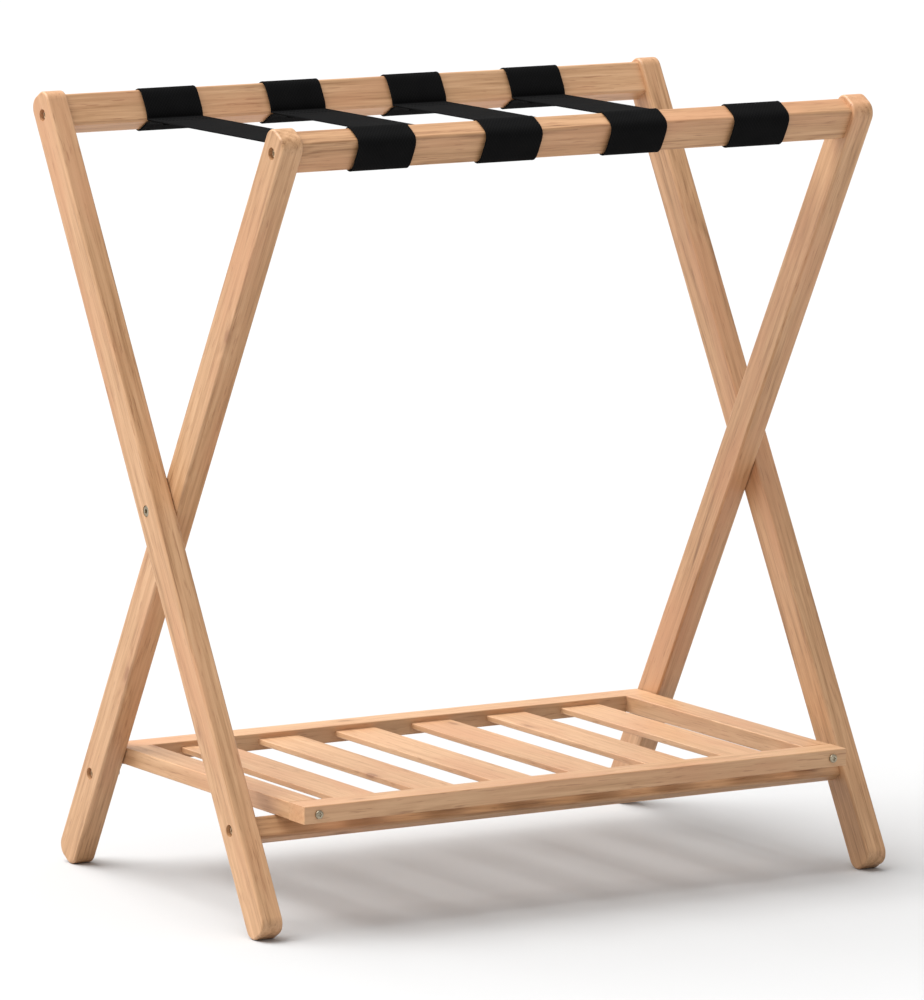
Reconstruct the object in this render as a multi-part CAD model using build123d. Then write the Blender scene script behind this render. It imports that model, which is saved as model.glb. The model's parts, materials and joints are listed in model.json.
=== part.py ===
from build123d import *
import os
from math import cos, radians, sin

# Folding luggage rack: two wooden leg frames crossed on a pivot, four webbing straps between
# their top rails, and a slatted shelf hinged between the inner legs.
# Millimetres, +Z up, X along the rails, -Y to the front. The origin is on the floor, midway
# between the feet. A frame is drawn upright with the pivot axis at its origin, then leaned.

# ---- frames ----
WIDTH = 620.0  # over the outer legs
LEG_THICK = 20.0  # along X
LEG_WIDE = 30.5  # front to back, square to the leg
LEG_END_ROUND = 11.2  # corner radius of the leg's ends
LEG_EDGE_ROUND = 2.0
LEG_ABOVE = 389.5  # leg length above the pivot axis
LEG_BELOW = 385.5  # leg length below the pivot axis
LEAN = 30.0  # each frame from upright, degrees
LEG_GAP = 0.5  # between an outer leg and the inner leg beside it

TOP_RAIL_THICK = 20.0
TOP_RAIL_TALL = 30.0
TOP_RAIL_AT = 370.0  # rail centre, up the leg from the pivot
TOP_RAIL_ROUND = 2.5
STRETCHER_THICK = 15.0
STRETCHER_TALL = 20.0
STRETCHER_ROUND = 2.0
STRETCHER_AT = -292.0
TOP_HOLE_AT = 370.0  # screw holes in the legs, up the leg from the pivot
LOW_HOLE_AT = -290.0

# ---- shelf ----
SHELF_SIDE_GAP = 1.0  # between the shelf and an inner leg
SHELF_THICK = 15.0
SHELF_FRONT = -200.0
SHELF_BACK = 147.0
SHELF_RAIL_WIDE = 27.0
SHELF_END_WIDE = 27.5
SHELF_REST_GAP = 0.3  # shelf underside above the stretcher's highest edge
SHELF_ROUND = 1.0
SLAT_COUNT = 6
SLAT_WIDE = 40.0
SLAT_THICK = 5.0
SLAT_ROUND = 0.8
SLAT_PITCH = 77.0
SLAT_DROP = 5.0  # slat top below the rail top
SLAT_TENON = 8.0  # length let into each rail

# ---- straps ----
STRAP_COUNT = 4
STRAP_WIDE = 55.0
STRAP_THICK = 1.5
STRAP_PITCH = 122.2
STRAP_MIDDLE = -6.0  # X of the middle of the row of straps
STRAP_TOP_AT = 313.9  # span's top above the pivot axis
STRAP_TAIL = 20.0  # stitched lap under the span at each rail
SPAN_END_GAP = 0.3  # at the front rail, which moves away as the rack folds

# ---- screws, bolts and plates ----
COUNTERBORE_RADIUS = 5.3
COUNTERBORE_DEEP = 5.5
HEAD_ROUND_SHARE = 0.6  # a pan head's edge radius, as a share of its height
RECESS_WIDE_SHARE = 0.24  # width of a driver slot's arm, as a share of the head's radius
POINT_SHARE = 2.5  # length of a screw's point, as a share of its radius
POINT_TIP_RADIUS = 0.2
SCREW_HEAD_RADIUS = 4.2
SCREW_HEAD_TALL = 3.0
SCREW_RADIUS = 2.25
SCREW_LONG = 45.0
SHELF_SCREW_HEAD_RADIUS = 3.75
SHELF_SCREW_HEAD_TALL = 2.2
SHELF_SCREW_RADIUS = 1.9
SHELF_SCREW_LONG = 48.0
HOLE_EXTRA = 0.05  # radius added to a hole over the piece in it
CUT_EXTRA = 1.0  # how far a cut runs on past the piece that fills it
SAME_FACE = 0.01  # distance within which an edge counts as lying on a face

PIVOT_RADIUS = 3.0
PIVOT_HEAD_RADIUS = 4.8
PIVOT_HEAD_TALL = 2.2
PIVOT_HEAD_ROUND = 0.6
PIVOT_HEAD_INSET = 0.3  # head's top below the leg's outer face
PIVOT_HEAD_GAP = 0.3  # between the head, which turns, and the leg under and round it
PIVOT_SOCKET_RADIUS = 2.3  # hexagon key socket, over the corners
PIVOT_SOCKET_DEEP = 1.4
PIVOT_GRIP = 12.0  # length of the bolt in the insert
INSERT_RADIUS = 4.5
INSERT_LONG = 13.0
INSERT_DRIVE_RADIUS = 3.8  # hexagon in the insert's open end, over the corners
INSERT_DRIVE_DEEP = 2.5
WASHER_RADIUS = 9.0
WASHER_THICK = 0.4

HINGE_BOLT_RADIUS = 2.5
HINGE_NUT_RADIUS = 4.6  # over the corners
HINGE_NUT_TALL = 4.0
HINGE_NUT_GAP = 0.3
HINGE_BOLT_PAST = 1.0  # the bolt's end beyond its nut
PLATE_THICK = 2.0
PLATE_EYE_RADIUS = 8.0
PLATE_TOP_RADIUS = 5.5
PLATE_SCREW_FROM_BACK = (7.0, 19.0)  # the two screws, from the shelf's back face
PLATE_SCREW_RADIUS = 1.4
PLATE_SCREW_HEAD_RADIUS = 2.6
PLATE_SCREW_HEAD_TALL = 1.2
PLATE_SCREW_LONG = 9.0
PLATE_SCREW_SLOT = 0.7  # width of the driver slot, and half as deep

# ---- worked out from the above ----
FOOT_CENTRE_DOWN = (LEG_BELOW - LEG_END_ROUND) * cos(radians(LEAN))
FOOT_CORNER_DOWN = (LEG_WIDE / 2 - LEG_END_ROUND) * sin(radians(LEAN))
PIVOT_HEIGHT = FOOT_CENTRE_DOWN + FOOT_CORNER_DOWN + LEG_END_ROUND
OUTER_FACE = WIDTH / 2
OUTER_INSIDE = OUTER_FACE - LEG_THICK
INNER_FACE = OUTER_INSIDE - LEG_GAP
INNER_INSIDE = INNER_FACE - LEG_THICK
PIVOT_SEAT_DEEP = PIVOT_HEAD_INSET + PIVOT_HEAD_TALL + PIVOT_HEAD_GAP
OUTER_LEAN = -LEAN
INNER_LEAN = LEAN

STRETCHER_CORNER_UP = (STRETCHER_AT + STRETCHER_TALL / 2 - STRETCHER_ROUND) * cos(radians(LEAN))
STRETCHER_CORNER_OUT = (STRETCHER_THICK / 2 - STRETCHER_ROUND) * sin(radians(LEAN))
STRETCHER_HIGH = PIVOT_HEIGHT + STRETCHER_CORNER_UP + STRETCHER_CORNER_OUT + STRETCHER_ROUND
SHELF_BOTTOM = STRETCHER_HIGH + SHELF_REST_GAP
SHELF_TOP = SHELF_BOTTOM + SHELF_THICK
SHELF_MIDDLE = SHELF_BOTTOM + SHELF_THICK / 2
SHELF_HALF = INNER_INSIDE - SHELF_SIDE_GAP
SLAT_TOP = SHELF_TOP - SLAT_DROP
END_RAIL_MIDDLE = SHELF_HALF - SHELF_END_WIDE / 2
HINGE_Y = -LOW_HOLE_AT * sin(radians(LEAN))
HINGE_Z = PIVOT_HEIGHT + LOW_HOLE_AT * cos(radians(LEAN))
SPAN_TOP = PIVOT_HEIGHT + STRAP_TOP_AT

SIDES = {"left": -1, "right": 1}


# ---- shared shapes ----
def bar(length, deep, tall, radius):
    """A rail along X, rounded along its four long edges, centred on the origin."""
    section = Plane.YZ * RectangleRounded(deep, tall, radius)
    return extrude(section, length / 2, both=True)


def along_x(side, at_x, y, z, shape):
    """Lay a shape that stands on z 0 so that its top faces out, away from the rack's middle."""
    return Pos(side * at_x, y, z) * Rot(0, 90 * side, 0) * shape


def rod(radius, length):
    """A plain cylinder hanging down from z 0."""
    return Pos(0, 0, -length / 2) * Cylinder(radius, length)


def disc(radius, tall):
    """A plain cylinder standing on z 0."""
    return Pos(0, 0, tall / 2) * Cylinder(radius, tall)


def cross_recess(head_radius, head_tall):
    """The cross-shaped driver slot in a screw's head."""
    arm = Box(head_radius, head_radius * RECESS_WIDE_SHARE, head_tall)
    return Pos(0, 0, head_tall) * (arm + Rot(0, 0, 90) * arm)


def rounded_head(radius, tall, edge_radius):
    """A round head standing on z 0 with its top edge rounded."""
    head = disc(radius, tall)
    rim = head.edges().filter_by(GeomType.CIRCLE).sort_by(Axis.Z)[-1]
    return fillet(rim, edge_radius)


def pointed_shank(radius, length):
    """A screw's shank hanging down from z 0 to its point."""
    point = POINT_SHARE * radius
    tip = Pos(0, 0, point / 2 - length) * Cone(POINT_TIP_RADIUS, radius, point)
    return rod(radius, length - point) + tip


def pan_screw(head_radius, head_tall, radius, length):
    """A wood screw: rounded head above z 0, shank and point below it."""
    head = rounded_head(head_radius, head_tall, head_tall * HEAD_ROUND_SHARE)
    return head - cross_recess(head_radius, head_tall) + pointed_shank(radius, length)


def hexagon_socket(radius, deep):
    """The tool that cuts a hexagon socket down from z 0."""
    return extrude(RegularPolygon(radius, 6), -deep)


def counterbored_hole(radius, head_radius, sink, length):
    """The tool that cuts a hole down from z 0 with room for a head above z 0."""
    return rod(radius + HOLE_EXTRA, length) + disc(head_radius, sink)


def leaned(shape, lean):
    """Lean a piece of an upright frame about the pivot axis and lift it to its height."""
    return Pos(0, 0, PIVOT_HEIGHT) * Rot(lean, 0, 0) * shape


def group(solids):
    """Several separate pieces kept in one node."""
    return Compound(children=list(solids))


# ---- legs and their rails ----
def leg_blank(side, face):
    """A leg whose outer face is at the given distance from the rack's middle."""
    length = LEG_ABOVE + LEG_BELOW
    section = Plane.YZ * RectangleRounded(LEG_WIDE, length, LEG_END_ROUND)
    blank = extrude(section, LEG_THICK / 2, both=True)
    rims = blank.edges().filter_by(lambda edge: abs(abs(edge.center().X) - LEG_THICK / 2) < SAME_FACE)
    blank = fillet(rims, LEG_EDGE_ROUND)
    return Pos(side * (face - LEG_THICK / 2), 0, (LEG_ABOVE - LEG_BELOW) / 2) * blank


def leg_screw_hole(side, face, at, radius):
    """A counterbored hole right through a leg."""
    sink = COUNTERBORE_DEEP + CUT_EXTRA
    tool = counterbored_hole(radius, COUNTERBORE_RADIUS, sink, LEG_THICK)
    return along_x(side, face - COUNTERBORE_DEEP, 0, at, tool)


def outer_leg(side):
    """A leg with a screw hole at each rail and a bore for the pivot bolt to turn in."""
    leg = leg_blank(side, OUTER_FACE)
    for at in (TOP_HOLE_AT, LOW_HOLE_AT):
        leg -= leg_screw_hole(side, OUTER_FACE, at, SCREW_RADIUS)
    head_room = PIVOT_HEAD_RADIUS + PIVOT_HEAD_GAP
    tool = counterbored_hole(PIVOT_RADIUS, head_room, PIVOT_SEAT_DEEP + CUT_EXTRA, LEG_THICK)
    leg -= along_x(side, OUTER_FACE - PIVOT_SEAT_DEEP, 0, 0, tool)
    return leaned(leg, OUTER_LEAN)


def inner_leg(side):
    """A leg with its screw holes and a blind hole in its outer face for the pivot's insert."""
    leg = leg_blank(side, INNER_FACE)
    leg -= leg_screw_hole(side, INNER_FACE, TOP_HOLE_AT, SCREW_RADIUS)
    leg -= leg_screw_hole(side, INNER_FACE, LOW_HOLE_AT, HINGE_BOLT_RADIUS)
    blind = rod(INSERT_RADIUS + HOLE_EXTRA, INSERT_LONG + HOLE_EXTRA)
    leg -= along_x(side, INNER_FACE, 0, 0, blind)
    return leaned(leg, INNER_LEAN)


def frame_screw(side, face, at):
    """A screw sunk in a leg's outer face and driven into the end of a rail."""
    screw = pan_screw(SCREW_HEAD_RADIUS, SCREW_HEAD_TALL, SCREW_RADIUS, SCREW_LONG)
    return along_x(side, face - COUNTERBORE_DEEP, 0, at, screw)


def pilot_holes(face, at):
    """The holes that a pair of frame screws fill in the ends of a rail."""
    hole = rod(SCREW_RADIUS + HOLE_EXTRA, SCREW_LONG + CUT_EXTRA)
    return [along_x(side, face - COUNTERBORE_DEEP, 0, at, hole) for side in SIDES.values()]


def top_rail(inside, face, lean):
    """The rail that the straps go round, between the tops of a pair of legs."""
    rail = Pos(0, 0, TOP_RAIL_AT) * bar(2 * inside, TOP_RAIL_THICK, TOP_RAIL_TALL, TOP_RAIL_ROUND)
    for hole in pilot_holes(face, TOP_HOLE_AT):
        rail -= hole
    return leaned(rail, lean)


def front_stretcher():
    """The low rail between the outer legs, which the shelf's front rests on."""
    rail = bar(2 * OUTER_INSIDE, STRETCHER_THICK, STRETCHER_TALL, STRETCHER_ROUND)
    rail = Pos(0, 0, STRETCHER_AT) * rail
    for hole in pilot_holes(OUTER_FACE, LOW_HOLE_AT):
        rail -= hole
    return leaned(rail, OUTER_LEAN)


def frame_screws(face, heights, lean):
    """Every screw of one leg frame."""
    screws = [frame_screw(side, face, at) for side in SIDES.values() for at in heights]
    return group(leaned(screw, lean) for screw in screws)


# ---- pivot: the bolt turns in the outer leg and is screwed into the inner leg's insert ----
def pivot_bolt(side):
    """A flat round head with a key socket, and a shank through the outer leg."""
    head = rounded_head(PIVOT_HEAD_RADIUS, PIVOT_HEAD_TALL, PIVOT_HEAD_ROUND)
    head -= Pos(0, 0, PIVOT_HEAD_TALL) * hexagon_socket(PIVOT_SOCKET_RADIUS, PIVOT_SOCKET_DEEP)
    under_head = OUTER_FACE - PIVOT_HEAD_INSET - PIVOT_HEAD_TALL
    shank = rod(PIVOT_RADIUS, under_head - INNER_FACE + PIVOT_GRIP)
    return along_x(side, under_head, 0, PIVOT_HEIGHT, head + shank)


def pivot_insert(side):
    """The threaded insert, level with the inner leg's outer face."""
    insert = rod(INSERT_RADIUS, INSERT_LONG) - rod(PIVOT_RADIUS + HOLE_EXTRA, INSERT_LONG)
    insert -= hexagon_socket(INSERT_DRIVE_RADIUS, INSERT_DRIVE_DEEP)
    return along_x(side, INNER_FACE, 0, PIVOT_HEIGHT, insert)


def pivot_washer(side):
    """The thin washer between the legs."""
    ring = disc(WASHER_RADIUS, WASHER_THICK) - disc(PIVOT_RADIUS + HOLE_EXTRA, WASHER_THICK)
    return along_x(side, INNER_FACE, 0, PIVOT_HEIGHT, ring)


# ---- straps ----
def strap_x(index):
    """X of the middle of a strap."""
    return STRAP_MIDDLE + (index - (STRAP_COUNT - 1) / 2) * STRAP_PITCH


def loop_solid(index, lean, extra):
    """What a strap's loop fills, rail and all, grown by extra all round."""
    grow = STRAP_THICK + extra
    deep = TOP_RAIL_THICK + 2 * grow
    tall = TOP_RAIL_TALL + 2 * grow
    block = bar(STRAP_WIDE, deep, tall, TOP_RAIL_ROUND + grow)
    return leaned(Pos(strap_x(index), 0, TOP_RAIL_AT) * block, lean)


def strap_loop(index, lean):
    """The webbing once round a top rail."""
    core = bar(STRAP_WIDE, TOP_RAIL_THICK, TOP_RAIL_TALL, TOP_RAIL_ROUND)
    core = leaned(Pos(strap_x(index), 0, TOP_RAIL_AT) * core, lean)
    return loop_solid(index, lean, 0) - core


def strap_span(index):
    """The flat run between the rails, with the stitched lap under each of its ends."""
    back = loop_solid(index, OUTER_LEAN, 0)
    front = loop_solid(index, INNER_LEAN, SPAN_END_GAP)
    reach = back.bounding_box().center().Y
    inner_edge = back.bounding_box().min.Y
    run = Pos(0, 0, SPAN_TOP - STRAP_THICK / 2) * Box(STRAP_WIDE, 2 * reach, STRAP_THICK)
    lap_middle = (reach + inner_edge - STRAP_TAIL) / 2
    lap = Box(STRAP_WIDE, reach - inner_edge + STRAP_TAIL, STRAP_THICK)
    for end in (-1, 1):
        run += Pos(0, end * lap_middle, SPAN_TOP - STRAP_THICK * 1.5) * lap
    return Pos(strap_x(index), 0, 0) * run - back - front


# ---- shelf ----
def slat(index):
    """A slat across the shelf, its ends let into the front and back rails."""
    x = (index - (SLAT_COUNT - 1) / 2) * SLAT_PITCH
    length = SHELF_BACK - SHELF_FRONT - 2 * (SHELF_RAIL_WIDE - SLAT_TENON)
    board = Box(SLAT_WIDE, length, SLAT_THICK)
    board = fillet(board.edges().filter_by(Axis.Y), SLAT_ROUND)
    return Pos(x, (SHELF_FRONT + SHELF_BACK) / 2, SLAT_TOP - SLAT_THICK / 2) * board


def shelf_screw(side, back):
    """A screw through a shelf rail into the end of an end rail; back is 1 at the back rail."""
    screw = pan_screw(
        SHELF_SCREW_HEAD_RADIUS, SHELF_SCREW_HEAD_TALL, SHELF_SCREW_RADIUS, SHELF_SCREW_LONG
    )
    return shelf_screw_place(side, back) * screw


def shelf_screw_place(side, back):
    """Where a shelf screw's head sits, facing out of the rail."""
    face = SHELF_BACK if back > 0 else SHELF_FRONT
    return Pos(side * END_RAIL_MIDDLE, face, SHELF_MIDDLE) * Rot(-90 * back, 0, 0)


def shelf_screw_hole(side, back):
    """The tool that cuts a shelf screw's hole."""
    hole = rod(SHELF_SCREW_RADIUS + HOLE_EXTRA, SHELF_SCREW_LONG + CUT_EXTRA)
    return shelf_screw_place(side, back) * hole


def plate_screw_places(side):
    """Where the heads of a hinge plate's two screws sit."""
    for from_back in PLATE_SCREW_FROM_BACK:
        yield Pos(side * SHELF_HALF, SHELF_BACK - from_back, SHELF_MIDDLE) * Rot(0, 90 * side, 0)


def countersink():
    """The cone of a plate screw's head, its wide end level with z 0."""
    cone = Cone(PLATE_SCREW_RADIUS, PLATE_SCREW_HEAD_RADIUS, PLATE_SCREW_HEAD_TALL)
    return Pos(0, 0, -PLATE_SCREW_HEAD_TALL / 2) * cone


def plate_screw():
    """A countersunk screw whose flat head is level with z 0."""
    slot = Box(2 * PLATE_SCREW_HEAD_RADIUS, PLATE_SCREW_SLOT, PLATE_SCREW_SLOT)
    return countersink() + pointed_shank(PLATE_SCREW_RADIUS, PLATE_SCREW_LONG) - slot


def plate_screw_hole():
    """The tool that cuts room for a plate screw."""
    return countersink() + rod(PLATE_SCREW_RADIUS, PLATE_SCREW_LONG + CUT_EXTRA)


def plate_blank(side):
    """The hinge plate's outline: an eye on the hinge axis and two lobes on the rail's end."""
    eye = Pos(HINGE_Y, HINGE_Z) * CenterArc((0, 0), PLATE_EYE_RADIUS, 0, 360)
    lobes = [
        Pos(SHELF_BACK - from_back, SHELF_MIDDLE) * CenterArc((0, 0), PLATE_TOP_RADIUS, 0, 360)
        for from_back in PLATE_SCREW_FROM_BACK
    ]
    outline = Plane.YZ * make_hull([eye, *lobes])
    inner = SHELF_HALF - PLATE_THICK
    return Pos(inner if side > 0 else -SHELF_HALF, 0, 0) * extrude(outline, PLATE_THICK)


def hinge_plate(side):
    """The steel plate in an end of the shelf's back rail, which turns on the hinge bolt."""
    plate = plate_blank(side)
    eye = rod(HINGE_BOLT_RADIUS + HOLE_EXTRA, PLATE_THICK + CUT_EXTRA)
    plate -= along_x(side, SHELF_HALF, HINGE_Y, HINGE_Z, eye)
    for place in plate_screw_places(side):
        plate -= place * plate_screw_hole()
    return plate


def shelf_rail(back):
    """The shelf's front or back rail, with mortises for the slats; back is 1 at the back."""
    y = SHELF_BACK - SHELF_RAIL_WIDE / 2 if back > 0 else SHELF_FRONT + SHELF_RAIL_WIDE / 2
    rail = Box(2 * SHELF_HALF, SHELF_RAIL_WIDE, SHELF_THICK)
    rail = fillet(rail.edges().filter_by(Axis.X), SHELF_ROUND)
    rail = Pos(0, y, SHELF_MIDDLE) * rail
    for index in range(SLAT_COUNT):
        rail -= slat(index)
    for side in SIDES.values():
        rail -= shelf_screw_hole(side, back)
        if back > 0:
            rail -= plate_blank(side)
            for place in plate_screw_places(side):
                rail -= place * plate_screw_hole()
    return rail


def shelf_end_rail(side):
    """A rail along the shelf's end, butted between the front and back rails."""
    length = SHELF_BACK - SHELF_FRONT - 2 * SHELF_RAIL_WIDE
    rail = Box(SHELF_END_WIDE, length, SHELF_THICK)
    rail = fillet(rail.edges().filter_by(Axis.Y), SHELF_ROUND)
    rail = Pos(side * END_RAIL_MIDDLE, (SHELF_FRONT + SHELF_BACK) / 2, SHELF_MIDDLE) * rail
    for back in (-1, 1):
        rail -= shelf_screw_hole(side, back)
    return rail


# ---- shelf hinge: the bolts are fixed in the inner legs, the plates turn on them ----
def hinge_bolt(side):
    """A bolt through the inner leg's lower hole and the plate's eye."""
    nut_inside = SHELF_HALF - PLATE_THICK - HINGE_NUT_GAP - HINGE_NUT_TALL
    seat = INNER_FACE - COUNTERBORE_DEEP
    head = rounded_head(SCREW_HEAD_RADIUS, SCREW_HEAD_TALL, SCREW_HEAD_TALL * HEAD_ROUND_SHARE)
    head -= cross_recess(SCREW_HEAD_RADIUS, SCREW_HEAD_TALL)
    shank = rod(HINGE_BOLT_RADIUS, seat - nut_inside + HINGE_BOLT_PAST)
    return along_x(side, seat, HINGE_Y, HINGE_Z, head + shank)


def hinge_nut(side):
    """The nut on the hinge bolt's end, inside the plate."""
    face = SHELF_HALF - PLATE_THICK - HINGE_NUT_GAP
    nut = extrude(RegularPolygon(HINGE_NUT_RADIUS, 6), -HINGE_NUT_TALL)
    nut -= rod(HINGE_BOLT_RADIUS + HOLE_EXTRA, HINGE_NUT_TALL)
    return along_x(side, face, HINGE_Y, HINGE_Z, nut)


# ---- every node ----
def nodes():
    made = {}
    for name, side in SIDES.items():
        made[f"outer_leg_{name}"] = outer_leg(side)
        made[f"inner_leg_{name}"] = inner_leg(side)
        made[f"shelf_end_rail_{name}"] = shelf_end_rail(side)
        made[f"shelf_hinge_plate_{name}"] = hinge_plate(side)
    made["back_top_rail"] = top_rail(OUTER_INSIDE, OUTER_FACE, OUTER_LEAN)
    made["front_top_rail"] = top_rail(INNER_INSIDE, INNER_FACE, INNER_LEAN)
    made["front_stretcher"] = front_stretcher()
    made["outer_frame_screws"] = frame_screws(OUTER_FACE, (TOP_HOLE_AT, LOW_HOLE_AT), OUTER_LEAN)
    made["inner_frame_screws"] = frame_screws(INNER_FACE, (TOP_HOLE_AT,), INNER_LEAN)
    made["pivot_bolts"] = group(pivot_bolt(side) for side in SIDES.values())
    made["pivot_inserts"] = group(pivot_insert(side) for side in SIDES.values())
    made["pivot_washers"] = group(pivot_washer(side) for side in SIDES.values())
    made["shelf_front_rail"] = shelf_rail(-1)
    made["shelf_back_rail"] = shelf_rail(1)
    made["shelf_rail_screws"] = group(
        shelf_screw(side, back) for side in SIDES.values() for back in (-1, 1)
    )
    made["hinge_plate_screws"] = group(
        place * plate_screw() for side in SIDES.values() for place in plate_screw_places(side)
    )
    made["shelf_hinge_bolts"] = group(hinge_bolt(side) for side in SIDES.values())
    made["shelf_hinge_nuts"] = group(hinge_nut(side) for side in SIDES.values())
    for index in range(SLAT_COUNT):
        made[f"shelf_slat_{index + 1}"] = slat(index)
    for index in range(STRAP_COUNT):
        made[f"back_strap_loop_{index + 1}"] = strap_loop(index, OUTER_LEAN)
        made[f"front_strap_loop_{index + 1}"] = strap_loop(index, INNER_LEAN)
        made[f"strap_span_{index + 1}"] = strap_span(index)
    return made


os.makedirs("parts", exist_ok=True)
for node, shape in nodes().items():
    export_step(shape, f"parts/{node}.step")
print("pivot height", round(PIVOT_HEIGHT, 3), "shelf hinge y z", round(HINGE_Y, 3), round(HINGE_Z, 3))
print("shelf top", round(SHELF_TOP, 3), "strap top", round(SPAN_TOP, 3))
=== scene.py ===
import json
from math import copysign, cos, pi, radians, sin

import bmesh
import bpy
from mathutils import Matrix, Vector


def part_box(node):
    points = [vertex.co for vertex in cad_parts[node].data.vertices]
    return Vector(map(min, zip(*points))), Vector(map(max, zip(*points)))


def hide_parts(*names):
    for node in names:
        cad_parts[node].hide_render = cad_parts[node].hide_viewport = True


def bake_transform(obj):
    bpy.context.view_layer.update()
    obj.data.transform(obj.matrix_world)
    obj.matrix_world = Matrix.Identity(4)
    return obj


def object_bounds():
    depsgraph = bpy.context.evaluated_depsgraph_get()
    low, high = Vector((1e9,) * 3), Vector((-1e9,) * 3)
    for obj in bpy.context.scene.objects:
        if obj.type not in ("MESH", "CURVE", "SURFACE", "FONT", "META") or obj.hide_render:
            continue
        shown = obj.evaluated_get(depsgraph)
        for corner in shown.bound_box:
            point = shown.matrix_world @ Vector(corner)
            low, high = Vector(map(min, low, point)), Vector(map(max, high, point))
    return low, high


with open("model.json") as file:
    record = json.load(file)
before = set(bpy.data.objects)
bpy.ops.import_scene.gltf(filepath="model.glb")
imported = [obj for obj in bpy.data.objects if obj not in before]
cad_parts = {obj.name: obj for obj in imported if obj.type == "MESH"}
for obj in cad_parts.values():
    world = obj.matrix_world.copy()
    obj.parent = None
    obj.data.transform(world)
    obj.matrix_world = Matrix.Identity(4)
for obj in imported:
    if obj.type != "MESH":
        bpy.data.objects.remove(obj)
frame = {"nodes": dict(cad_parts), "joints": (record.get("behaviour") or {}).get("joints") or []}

# Looks of the folding luggage rack: lacquered light wood, black webbing straps, steel fasteners.
# Metres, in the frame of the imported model: X along the rails, -Y to the front, Z up.

CAD_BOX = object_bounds()
MM = 0.001
LEAN = radians(30)  # each leg frame from upright

# ---- straps ----
STRAP_COUNT = 4
STRAP_WIDE = 55 * MM
STRAP_THICK = 1.3 * MM
SELVEDGE = 2.2 * MM  # the thicker band along each edge of the webbing
SELVEDGE_EXTRA = 0.08 * MM  # half of what it adds to the thickness
SELVEDGE_ROUND = ((1.5 * MM, 1), (0.7 * MM, 1), (0.2 * MM, 0.7), (0, 0))  # in from the edge, height
RAIL_THICK = 20 * MM
RAIL_TALL = 30 * MM
RAIL_AT = 370 * MM  # rail centre, up the leg from the pivot
STRAP_AIR = 0.1 * MM  # between the webbing and the rail under it
BULGE_OUT = 3.0 * MM  # how far the webbing stands off the middle of the rail's outer face,
BULGE_IN = 2.3 * MM  # of its inner face
BULGE_ENDS = 0.8 * MM  # and of its top and bottom
LOOP_SQUARE = 3.8  # 2 would make the loop an ellipse, and more makes it squarer
LOOP_END = 277  # degrees round the loop where the webbing turns for the lap
LOOP_STEPS = 96
SPAN_BEND = 2.8 * MM  # how far up the rail's face the turn from the span ends
SPAN_STEPS = 24
BEND_STEPS = 6
BEND_PULL = 0.6  # 0 would cut the corner straight, and 1 is the sharpest
LAP_MEETS = 9 * MM  # from the rail's face to where the two layers meet
LAP_LONG = 20 * MM
LAP_STEPS = 8
LAP_AIR = 0.05 * MM  # between the two layers
LAP_PULL = 4 * MM  # how long the webbing keeps its direction as it closes on the span
STITCH_LONG = 2.6 * MM
STITCH_PITCH = 3.6 * MM
STITCH_THICK = 0.5 * MM
STITCH_ROWS = (3 * MM, 15 * MM)  # from where the two layers meet
STITCH_PROUD = 0.1  # of its thickness: how far its middle lies outside the webbing
STITCH_SIDES = 6
STITCH_SHAPE = ((-0.5, 0.25), (-0.32, 0.9), (0, 1.0), (0.32, 0.9), (0.5, 0.25))  # place, radius


# ---- node helpers ----
def node(tree, kind, inputs=None, **settings):
    """Add a shader node; an input given as a socket is linked, and any other is set."""
    made = tree.nodes.new(kind)
    for name, value in settings.items():
        setattr(made, name, value)
    for name, value in (inputs or {}).items():
        socket = made.inputs[name]
        if isinstance(value, bpy.types.NodeSocket):
            tree.links.new(value, socket)
        else:
            socket.default_value = value
    return made


def maths(tree, operation, *values):
    inputs = dict(enumerate(values))
    return node(tree, "ShaderNodeMath", inputs, operation=operation).outputs[0]


def vector_maths(tree, operation, *values):
    return node(tree, "ShaderNodeVectorMath", dict(enumerate(values)), operation=operation)


def noise(tree, vector, scale, detail=3.0, roughness=0.5, distortion=0.0):
    inputs = {"Vector": vector, "Scale": scale, "Detail": detail}
    inputs["Roughness"] = roughness
    inputs["Distortion"] = distortion
    return node(tree, "ShaderNodeTexNoise", inputs).outputs[0]


def stretched(tree, vector, along):
    """Squeeze coordinates along Z, so that a texture is drawn out along the grain."""
    inputs = {"Vector": vector, "Scale": (1, 1, along)}
    return node(tree, "ShaderNodeMapping", inputs).outputs[0]


def between(tree, value, low, high, to_low=0.0, to_high=1.0):
    """Map a range of a value smoothly on to another range."""
    inputs = {"Value": value, "From Min": low, "From Max": high}
    inputs["To Min"] = to_low
    inputs["To Max"] = to_high
    made = node(tree, "ShaderNodeMapRange", inputs, interpolation_type="SMOOTHSTEP")
    return made.outputs[0]


def ramp(tree, value, stops):
    made = node(tree, "ShaderNodeValToRGB", {"Fac": value})
    elements = made.color_ramp.elements
    while len(elements) < len(stops):
        elements.new(0.5)
    for element, (place, colour) in zip(elements, stops):
        element.position = place
        element.color = (*colour, 1)
    return made.outputs[0]


def mixed(tree, share, first, second, blend_type="MIX"):
    inputs = {0: share, 6: first, 7: second}
    made = node(tree, "ShaderNodeMix", inputs, data_type="RGBA", blend_type=blend_type)
    return made.outputs[2]


def new_material(name):
    material = bpy.data.materials.new(name)
    material.use_nodes = True
    tree = material.node_tree
    tree.nodes.clear()
    shader = node(tree, "ShaderNodeBsdfPrincipled")
    output = node(tree, "ShaderNodeOutputMaterial", {"Surface": shader.outputs[0]})
    output.is_active_output = True
    return material, tree, shader


def bumped(tree, shader, height, strength, distance):
    inputs = {"Height": height, "Strength": strength, "Distance": distance}
    bump = node(tree, "ShaderNodeBump", inputs)
    tree.links.new(bump.outputs[0], shader.inputs["Normal"])


def use(piece, *materials):
    piece.data.materials.clear()
    for material in materials:
        piece.data.materials.append(material)


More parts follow.
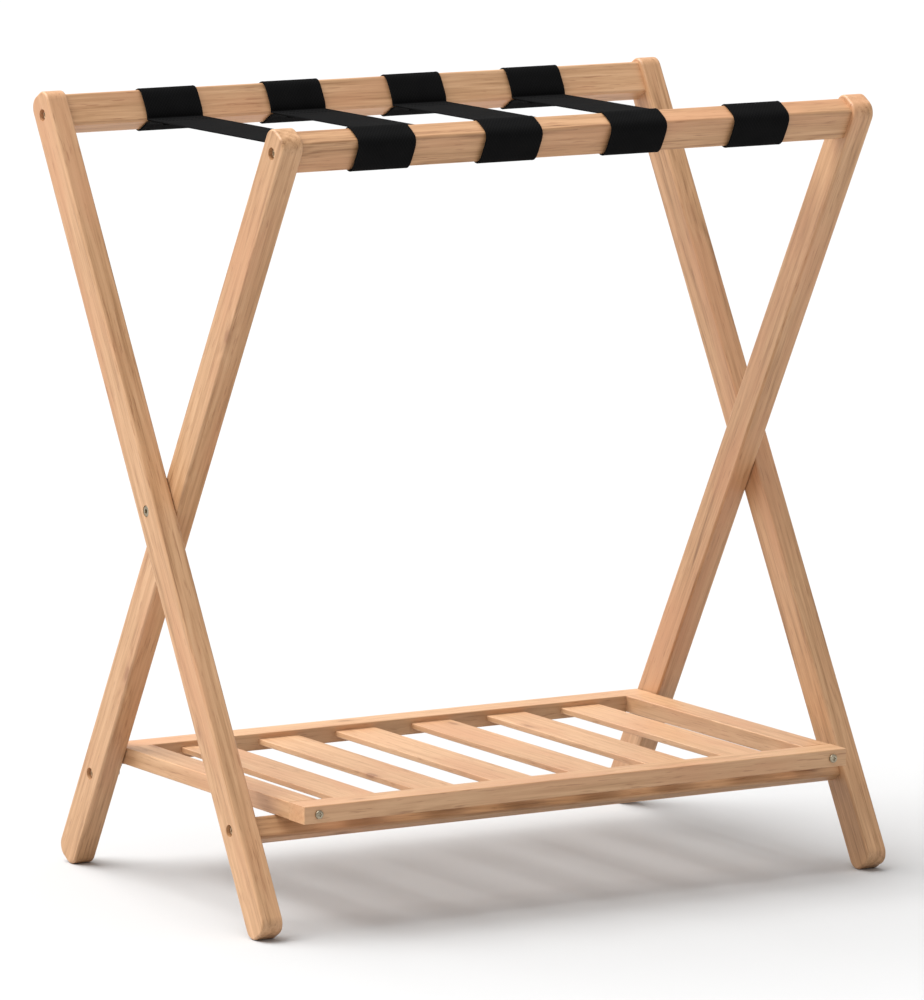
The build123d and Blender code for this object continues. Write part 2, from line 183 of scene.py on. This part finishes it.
def in_scene(name, data):
    made = bpy.data.objects.new(name, data)
    bpy.context.scene.collection.objects.link(made)
    return made


def mesh_in_scene(name, bm):
    mesh = bpy.data.meshes.new(name)
    bm.to_mesh(mesh)
    bm.free()
    return in_scene(name, mesh)


# ---- wood ----
WOOD_STOPS = (
    (0.08, (0.265, 0.128, 0.052)),
    (0.34, (0.440, 0.238, 0.112)),
    (0.60, (0.535, 0.304, 0.156)),
    (0.92, (0.620, 0.372, 0.202)),
)
WOOD_BLUSH = (0.530, 0.255, 0.128, 1)
WOOD_PORE = (0.62, 0.50, 0.42, 1)
WOOD_KNOT = (0.30, 0.135, 0.060, 1)
KNOT_CELLS = (26, 26, 9)  # to the metre, across the grain and along it
KNOT_WOBBLE = 0.05  # cells
KNOT_CORE = (0.045, 0.095)  # in cells from its middle: where it is full, and where it has gone
KNOT_HALO = (0.06, 0.19)
KNOT_SWIRL = (0.03, 0.34)
KNOT_DEEP = 0.75  # the share of the knot's own colour in its core
HALO_DEEP = 0.30  # and round it
PITH = (0.11, 0.07, 0)  # from the middle of the rings to the origin
RING_PITCH = 5.5 * MM
RING_DRIFT = 26 * MM  # how far the rings wander
RING_SWIRL = 7 * MM  # how far a knot bends them
RING_WEIGHT = 0.075
STREAK_WEIGHT = 1.35
FIBRE_WEIGHT = 0.85
BROAD_WEIGHT = 0.55
BLUSH_DEEP = 0.55
PORE_DEEP = 0.6
WOOD_ROUGH = (0.40, 0.16)  # the least, and what the fibres add
WOOD_COAT = (0.08, 0.35)  # weight and roughness
FRAME_TONE = 0.52  # where the wood lies on the stops above
# The shelf's wood is set lighter than the frame's: painted light that makes up for the shadow the
# straps and legs cast on it.
SHELF_TONE_LIFTED_AS_PAINTED_LIGHT = 0.70
# The front rail's wood is set darker than the frame's: painted shade for its front face, which
# tilts down away from the light.
FRONT_RAIL_TONE_LOWERED_AS_PAINTED_SHADE = 0.36
TONE_SPREAD = 0.045  # the most that a board's tone is off
TONE_STEP = 2.4  # radians from one board to the next
BOARD_SHIFT = (0.37, 0.23, 0.71)  # through the grain, from one board to the next


def wood_group():
    """Colour, roughness and height of planed wood whose grain runs along Z."""
    tree = bpy.data.node_groups.new("wood_grain", "ShaderNodeTree")
    tree.interface.new_socket("Vector", in_out="INPUT", socket_type="NodeSocketVector")
    tree.interface.new_socket("Tone", in_out="INPUT", socket_type="NodeSocketFloat")
    tree.interface.new_socket("Color", in_out="OUTPUT", socket_type="NodeSocketColor")
    tree.interface.new_socket("Roughness", in_out="OUTPUT", socket_type="NodeSocketFloat")
    tree.interface.new_socket("Height", in_out="OUTPUT", socket_type="NodeSocketFloat")
    given = node(tree, "NodeGroupInput")
    place, tone = given.outputs["Vector"], given.outputs["Tone"]

    # A knot now and then, drawn out along the grain, which bends the lines round it.
    cells = node(tree, "ShaderNodeMapping", {"Vector": place, "Scale": KNOT_CELLS}).outputs[0]
    wobble = noise(tree, place, scale=90, detail=2)
    spot = node(tree, "ShaderNodeTexVoronoi", {"Vector": cells, "Scale": 1.0}).outputs["Distance"]
    spot = maths(tree, "MULTIPLY_ADD", maths(tree, "SUBTRACT", wobble, 0.5), KNOT_WOBBLE, spot)
    knot = between(tree, spot, *KNOT_CORE, to_low=1, to_high=0)
    swirl = between(tree, spot, *KNOT_SWIRL, to_low=1, to_high=0)

    # Growth rings round a pith that lies outside the board.
    drift = noise(tree, stretched(tree, place, 0.16), scale=16, detail=2)
    pith = vector_maths(tree, "ADD", place, PITH).outputs[0]
    across = vector_maths(tree, "MULTIPLY", pith, (1, 1, 0)).outputs[0]
    away = vector_maths(tree, "LENGTH", across).outputs["Value"]
    away = maths(tree, "MULTIPLY_ADD", drift, RING_DRIFT, away)
    away = maths(tree, "MULTIPLY_ADD", swirl, RING_SWIRL, away)
    rings = maths(tree, "SINE", maths(tree, "MULTIPLY", away, 2 * pi / RING_PITCH))

    # Streaks and fibres, both far longer than they are wide.
    streaks = noise(tree, stretched(tree, place, 0.035), 170, 5, roughness=0.6, distortion=0.6)
    fibres = noise(tree, stretched(tree, place, 0.03), 800, 3, roughness=0.6)
    broad = noise(tree, stretched(tree, place, 0.3), scale=14, detail=3)
    value = maths(tree, "MULTIPLY_ADD", rings, RING_WEIGHT, tone)
    weights = ((streaks, STREAK_WEIGHT), (fibres, FIBRE_WEIGHT), (broad, BROAD_WEIGHT))
    for texture, weight in weights:
        value = maths(tree, "MULTIPLY_ADD", maths(tree, "SUBTRACT", texture, 0.5), weight, value)
    colour = ramp(tree, value, WOOD_STOPS)

    # A pinker cast in places, darker pores, and the knots' own colour.
    cast = noise(tree, stretched(tree, place, 0.25), scale=30, detail=3)
    colour = mixed(tree, between(tree, cast, 0.42, 0.72, 0, BLUSH_DEEP), colour, WOOD_BLUSH)
    pores = between(tree, noise(tree, stretched(tree, place, 0.07), 620, 2), 0.60, 0.72)
    colour = mixed(tree, maths(tree, "MULTIPLY", pores, PORE_DEEP), colour, WOOD_PORE, "MULTIPLY")
    halo = between(tree, spot, *KNOT_HALO, to_low=1, to_high=0)
    colour = mixed(tree, maths(tree, "MULTIPLY", halo, HALO_DEEP), colour, WOOD_KNOT)
    colour = mixed(tree, maths(tree, "MULTIPLY", knot, KNOT_DEEP), colour, WOOD_KNOT)

    roughness = maths(tree, "MULTIPLY_ADD", fibres, WOOD_ROUGH[1], WOOD_ROUGH[0])
    height = maths(tree, "ADD", fibres, maths(tree, "MULTIPLY", streaks, 0.5))
    height = maths(tree, "SUBTRACT", height, pores)
    node(tree, "NodeGroupOutput", {"Color": colour, "Roughness": roughness, "Height": height})
    return tree


def wood_tone(name, number):
    """Where one board's wood lies on the stops; the shelf's is set lighter as painted light, and
    the front rail's darker as painted shade.
    """
    tone = FRAME_TONE
    if name.startswith("shelf"):
        tone = SHELF_TONE_LIFTED_AS_PAINTED_LIGHT
    elif name == "front_top_rail":
        tone = FRONT_RAIL_TONE_LOWERED_AS_PAINTED_SHADE
    return tone + TONE_SPREAD * sin(TONE_STEP * number)


def wood_material(name, turn, number, group):
    """Wood for one piece. The turn brings the grain on to Z; the number moves and tints it."""
    material, tree, shader = new_material(f"wood_{name}")
    at = node(tree, "ShaderNodeTexCoord").outputs["Object"]
    shift = tuple(part * number for part in BOARD_SHIFT)
    inputs = {"Vector": at, "Rotation": turn, "Location": shift}
    aligned = node(tree, "ShaderNodeMapping", inputs)
    grain = node(tree, "ShaderNodeGroup", node_tree=group)
    tree.links.new(aligned.outputs[0], grain.inputs["Vector"])
    grain.inputs["Tone"].default_value = wood_tone(name, number)
    tree.links.new(grain.outputs["Color"], shader.inputs["Base Color"])
    tree.links.new(grain.outputs["Roughness"], shader.inputs["Roughness"])
    shader.inputs["Coat Weight"].default_value = WOOD_COAT[0]
    shader.inputs["Coat Roughness"].default_value = WOOD_COAT[1]
    bumped(tree, shader, grain.outputs["Height"], strength=0.35, distance=0.15 * MM)
    return material


def grain_turn(name):
    """The rotation that brings a piece's length on to Z."""
    if name.startswith("outer_leg"):
        return (LEAN, 0, 0)
    if name.startswith("inner_leg"):
        return (-LEAN, 0, 0)
    if name.startswith(("shelf_slat", "shelf_end_rail")):
        return (radians(90), 0, 0)
    return (0, radians(90), 0)


def dress_wood():
    group = wood_group()
    wooden = ("outer_leg", "inner_leg", "back_top", "front_top", "front_stretcher")
    wooden += ("shelf_front", "shelf_back", "shelf_end", "shelf_slat")
    names = sorted(name for name in frame["nodes"] if name.startswith(wooden))
    for number, name in enumerate(names, 1):
        use(frame["nodes"][name], wood_material(name, grain_turn(name), number, group))


# ---- metal ----
METALS = {  # colour and roughness
    "zinc_steel": ((0.44, 0.38, 0.28), 0.36),
    "grey_steel": ((0.42, 0.36, 0.26), 0.44),
    "dull_zinc": ((0.78, 0.62, 0.42), 0.50),
}
METAL_PIECES = {
    "zinc_steel": ("shelf_rail_screws", "hinge_plate_screws", "shelf_hinge_nuts"),
    "grey_steel": ("pivot_bolts", "pivot_inserts", "pivot_washers", "shelf_hinge_plate"),
    "dull_zinc": ("outer_frame_screws", "inner_frame_screws", "shelf_hinge_bolts"),
}
METAL_DARKER = 0.72  # the darkest patches of the metal, by its own colour
SCRATCH_ROUGH = 0.2  # how much the roughness varies


def metal_material(name, colour, roughness):
    """Clouded metal, finely scratched."""
    material, tree, shader = new_material(name)
    at = node(tree, "ShaderNodeTexCoord").outputs["Object"]
    scratches = noise(tree, stretched(tree, at, 0.2), 2600, 3, roughness=0.6)
    cloud = noise(tree, at, scale=260, detail=3)
    dark = tuple(METAL_DARKER * part for part in colour)
    shade = mixed(tree, between(tree, cloud, 0.35, 0.65), (*dark, 1), (*colour, 1))
    tree.links.new(shade, shader.inputs["Base Color"])
    rough = maths(tree, "MULTIPLY_ADD", scratches, SCRATCH_ROUGH, roughness - SCRATCH_ROUGH / 2)
    tree.links.new(rough, shader.inputs["Roughness"])
    shader.inputs["Metallic"].default_value = 1.0
    bumped(tree, shader, scratches, strength=0.2, distance=0.03 * MM)
    return material


def dress_metal():
    for finish, (colour, roughness) in METALS.items():
        material = metal_material(finish, colour, roughness)
        for name in sorted(frame["nodes"]):
            if name.startswith(METAL_PIECES[finish]):
                use(frame["nodes"][name], material)


# ---- webbing ----
WARP_PITCH = 1.5 * MM
WEFT_PITCH = 1.9 * MM
WEBBING_STOPS = (
    (0.15, (0.0040, 0.0040, 0.0041)),
    (0.55, (0.0070, 0.0070, 0.0072)),
    (0.85, (0.0112, 0.0112, 0.0115)),
)
THREAD_STOPS = ((0.3, (0.008, 0.008, 0.009)), (0.7, (0.030, 0.030, 0.032)))
WEAVE_DEPTH = 0.22 * MM


def webbing_material():
    """Black plain-woven webbing, ribbed along its length; it is mapped across and along."""
    material, tree, shader = new_material("webbing")
    at = node(tree, "ShaderNodeUVMap", uv_map="weave").outputs[0]
    parts = node(tree, "ShaderNodeSeparateXYZ", {"Vector": at})
    warp = maths(tree, "MULTIPLY", parts.outputs["X"], pi / WARP_PITCH)
    weft = maths(tree, "MULTIPLY", parts.outputs["Y"], pi / WEFT_PITCH)
    rib = maths(tree, "ABSOLUTE", maths(tree, "SINE", warp))
    weave = maths(tree, "MULTIPLY", maths(tree, "SINE", warp), maths(tree, "SINE", weft))
    height = maths(tree, "MULTIPLY_ADD", weave, 0.5, maths(tree, "MULTIPLY", rib, 0.5))
    place = node(tree, "ShaderNodeTexCoord").outputs["Object"]
    yarn = noise(tree, place, scale=1500, detail=3, roughness=0.6)
    height = maths(tree, "MULTIPLY_ADD", yarn, 0.25, height)
    wear = noise(tree, place, scale=45, detail=3)
    # The colour follows the weave's height: its dips are painted darker as shade and its raised
    # yarns lighter as a painted highlight.
    share = maths(tree, "MULTIPLY_ADD", height, 0.45, maths(tree, "MULTIPLY", wear, 0.4))
    tree.links.new(ramp(tree, share, WEBBING_STOPS), shader.inputs["Base Color"])
    shader.inputs["Roughness"].default_value = 0.95
    shader.inputs["Specular IOR Level"].default_value = 0.03
    bumped(tree, shader, height, strength=0.55, distance=WEAVE_DEPTH)
    return material


def thread_material():
    material, tree, shader = new_material("thread")
    place = node(tree, "ShaderNodeTexCoord").outputs["Object"]
    twist = noise(tree, place, scale=3000, detail=2)
    tree.links.new(ramp(tree, twist, THREAD_STOPS), shader.inputs["Base Color"])
    shader.inputs["Roughness"].default_value = 0.5
    bumped(tree, shader, twist, strength=0.4, distance=0.05 * MM)
    return material


def bezier(first, second, third, fourth, steps=10):
    made = []
    for k in range(steps + 1):
        t = k / steps
        s = 1 - t
        point = s ** 3 * first + 3 * s * s * t * second + 3 * s * t * t * third + t ** 3 * fourth
        made.append(point)
    return made


def loop_point(angle):
    """A point of the webbing's loop round the rail, (across, up) from the rail's middle.

    The angle, in degrees, is 0 at the rail's inner face, 90 at its top, 180 at its outer face."""
    c, s = cos(radians(angle)), sin(radians(angle))
    off = STRAP_AIR + STRAP_THICK / 2
    reach_across = RAIL_THICK / 2 + off + (BULGE_IN if c > 0 else BULGE_OUT)
    reach_up = RAIL_TALL / 2 + off + BULGE_ENDS
    power = 2 / LOOP_SQUARE
    across = reach_across * copysign(abs(c) ** power, c)
    return Vector((across, reach_up * copysign(abs(s) ** power, s)))


def angle_at(up):
    """The angle at which the loop is this far up its inner face."""
    low, high = -89.0, 89.0
    for _ in range(40):  # each turn halves what is left
        middle = (low + high) / 2
        if loop_point(middle).y < up:
            low = middle
        else:
            high = middle
    return low


def half_route(pivot_height, span_height):
    """The webbing's centreline from mid-span round the back rail to its tail, as (y, z)."""

    def seen(point):
        across, up = point.x, point.y + RAIL_AT
        y = up * sin(LEAN) - across * cos(LEAN)
        return Vector((y, pivot_height + up * cos(LEAN) + across * sin(LEAN)))

    face = loop_point(0).x
    leave_up = (span_height - pivot_height - face * sin(LEAN)) / cos(LEAN) - RAIL_AT
    first = angle_at(leave_up + SPAN_BEND)
    bend_to = seen(loop_point(first))
    ahead = seen(loop_point(first + 1)) - bend_to
    corner = bend_to - ahead * ((bend_to.y - span_height) / ahead.y)
    bend_from = corner - Vector(((bend_to - corner).length, 0))
    pulls = bend_from.lerp(corner, BEND_PULL), bend_to.lerp(corner, BEND_PULL)
    bend = bezier(bend_from, *pulls, bend_to, BEND_STEPS)

    turns = [first + (LOOP_END - first) * k / LOOP_STEPS for k in range(1, LOOP_STEPS + 1)]
    loop = [seen(loop_point(turn)) for turn in turns]
    leaving = (loop[-1] - loop[-2]).normalized()
    lap_height = span_height - STRAP_THICK - 2 * SELVEDGE_EXTRA - LAP_AIR
    meet = Vector((corner.x - LAP_MEETS, lap_height))
    close = bezier(loop[-1], loop[-1] + leaving * LAP_PULL, meet + Vector((LAP_PULL, 0)), meet)
    tail = [meet + Vector((-LAP_LONG * k / LAP_STEPS, 0)) for k in range(1, LAP_STEPS + 1)]
    span = [Vector((bend_from.x * k / SPAN_STEPS, span_height)) for k in range(SPAN_STEPS)]
    return span + bend + loop + close[1:] + tail, meet


def strap_route(pivot_height, span_height):
    """The whole centreline, from the front tail to the back tail."""
    half, meet = half_route(pivot_height, span_height)
    front = [Vector((-p.x, p.y)) for p in reversed(half[1:])]
    return front + half, meet


def webbing_section():
    """The outline of the webbing's cross-section, as (across, height)."""
    edge = STRAP_WIDE / 2
    middle = [(edge - SELVEDGE) * (k / 6 - 1) for k in range(13)]
    top = [(x, STRAP_THICK / 2) for x in middle]
    bead = STRAP_THICK / 2 + SELVEDGE_EXTRA
    right = [(edge - inset, bead * share) for inset, share in SELVEDGE_ROUND]
    left = [(-x, t) for x, t in reversed(right)]
    upper = left + top + right
    lower = [(x, -t) for x, t in reversed(upper[1:-1])]
    return upper + lower


def sweep_strap(bm, route, middle):
    """Sweep the section along the route, with (across, along) kept for the weave."""
    section = webbing_section()
    weave = bm.loops.layers.uv.new("weave")
    rings, lengths, done = [], [], 0.0
    for k, point in enumerate(route):
        before, after = route[max(k - 1, 0)], route[min(k + 1, len(route) - 1)]
        ahead = (after - before).normalized()
        normal = Vector((-ahead.y, ahead.x))
        if k:
            done += (point - route[k - 1]).length
        lengths.append(done)
        places = [(middle + x, *(point + normal * t)) for x, t in section]
        rings.append([bm.verts.new(p) for p in places])
    count = len(section)
    for k in range(len(rings) - 1):
        for i in range(count):
            j = (i + 1) % count
            face = bm.faces.new((rings[k][i], rings[k][j], rings[k + 1][j], rings[k + 1][i]))
            face.smooth = True
            for loop, (s, a) in zip(face.loops, ((k, i), (k, j), (k + 1, j), (k + 1, i))):
                loop[weave].uv = (section[a][0], lengths[s])
    for ring, order in ((rings[0], -1), (rings[-1], 1)):
        bm.faces.new(ring[::order])


def add_stitch(bm, centre):
    """One short capsule of thread lying along X."""
    rings = []
    for x, share in STITCH_SHAPE:
        ring = []
        for k in range(STITCH_SIDES):
            a = 2 * pi * k / STITCH_SIDES
            radius = STITCH_THICK / 2 * share
            offset = Vector((x * STITCH_LONG, radius * cos(a), radius * sin(a)))
            ring.append(bm.verts.new(centre + offset))
        rings.append(ring)
    made = []
    for one, other in zip(rings, rings[1:]):
        for k in range(STITCH_SIDES):
            n = (k + 1) % STITCH_SIDES
            made.append(bm.faces.new((one[k], one[n], other[n], other[k])))
    made.append(bm.faces.new(rings[0][::-1]))
    made.append(bm.faces.new(rings[-1]))
    for face in made:
        face.material_index = 1
        face.smooth = True


def add_stitches(bm, middle, meet, span_height):
    """Rows of stitches across the lap, on the span's top and under the tail."""
    count = int((STRAP_WIDE - 2 * SELVEDGE) / STITCH_PITCH)
    top = span_height + STRAP_THICK / 2 + STITCH_THICK * STITCH_PROUD
    under = meet.y - STRAP_THICK / 2 - STITCH_THICK * STITCH_PROUD
    for end in (-1, 1):
        for row in STITCH_ROWS:
            for height in (top, under):
                for k in range(count + 1):
                    x = middle + (k - count / 2) * STITCH_PITCH
                    add_stitch(bm, Vector((x, end * (meet.x - row), height)))


def make_straps():
    webbing, thread = webbing_material(), thread_material()
    hinge = next(joint for joint in frame["joints"] if joint["name"] == "frame_fold")
    pivot_height = hinge["pos_m"][2]
    for number in range(1, STRAP_COUNT + 1):
        low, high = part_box(f"strap_span_{number}")
        span_height = high.z - STRAP_THICK / 2
        middle = (low.x + high.x) / 2
        route, meet = strap_route(pivot_height, span_height)
        bm = bmesh.new()
        sweep_strap(bm, route, middle)
        add_stitches(bm, middle, meet, span_height)
        bmesh.ops.recalc_face_normals(bm, faces=bm.faces)
        strap = mesh_in_scene(f"strap_{number}", bm)
        use(strap, webbing, thread)
        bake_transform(strap)
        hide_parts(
            f"strap_span_{number}",
            f"back_strap_loop_{number}",
            f"front_strap_loop_{number}",
        )


# ---- studio ----
FLOOR_REACH = 40
FLOOR_GREY = 0.50
KEY_STRENGTH = 5.2
KEY_WIDTH = radians(65)  # the wider it looks, the softer its shadows
KEY_HEADING = (0.38, -0.33, -0.864)
ROOM_STRENGTH = 0.62
CAMERA_AZIMUTH = radians(-30.295)
CAMERA_ELEVATION = radians(8.639)
CAMERA_DISTANCE = 6.927
CAMERA_LENS = 287.9
CAMERA_SIGHT = 200  # the farthest it sees
AIM_OFF_MIDDLE = (-0.001, -0.002, -0.0154)


def make_floor():
    bm = bmesh.new()
    bmesh.ops.create_grid(bm, x_segments=1, y_segments=1, size=FLOOR_REACH)
    floor = mesh_in_scene("floor", bm)
    material, _, shader = new_material("floor_pale")
    shader.inputs["Base Color"].default_value = (FLOOR_GREY, FLOOR_GREY, FLOOR_GREY, 1)
    shader.inputs["Roughness"].default_value = 0.9
    use(floor, material)


def make_light():
    """One broad soft key from above, left and a little behind, in a white room."""
    light = bpy.data.lights.new("key", "SUN")
    light.energy = KEY_STRENGTH
    light.angle = KEY_WIDTH
    key = in_scene("key", light)
    key.rotation_euler = Vector(KEY_HEADING).to_track_quat("-Z", "Y").to_euler()
    world = bpy.data.worlds.new("studio")
    world.use_nodes = True
    background = world.node_tree.nodes["Background"]
    background.inputs["Color"].default_value = (1, 1, 1, 1)
    background.inputs["Strength"].default_value = ROOM_STRENGTH
    bpy.context.scene.world = world
    bpy.context.scene.view_settings.view_transform = "Standard"


def make_camera():
    """From the front left, a little above the rack, through a long lens."""
    aim = (CAD_BOX[0] + CAD_BOX[1]) / 2 + Vector(AIM_OFF_MIDDLE)
    data = bpy.data.cameras.new("camera")
    data.lens = CAMERA_LENS
    data.clip_end = CAMERA_SIGHT
    camera = in_scene("camera", data)
    level, rise = cos(CAMERA_ELEVATION), sin(CAMERA_ELEVATION)
    away = Vector((level * sin(CAMERA_AZIMUTH), -level * cos(CAMERA_AZIMUTH), rise))
    camera.location = aim + CAMERA_DISTANCE * away
    camera.rotation_euler = (-away).to_track_quat("-Z", "Y").to_euler()
    bpy.context.scene.camera = camera


make_camera()
make_light()
make_floor()
dress_wood()
dress_metal()
make_straps()
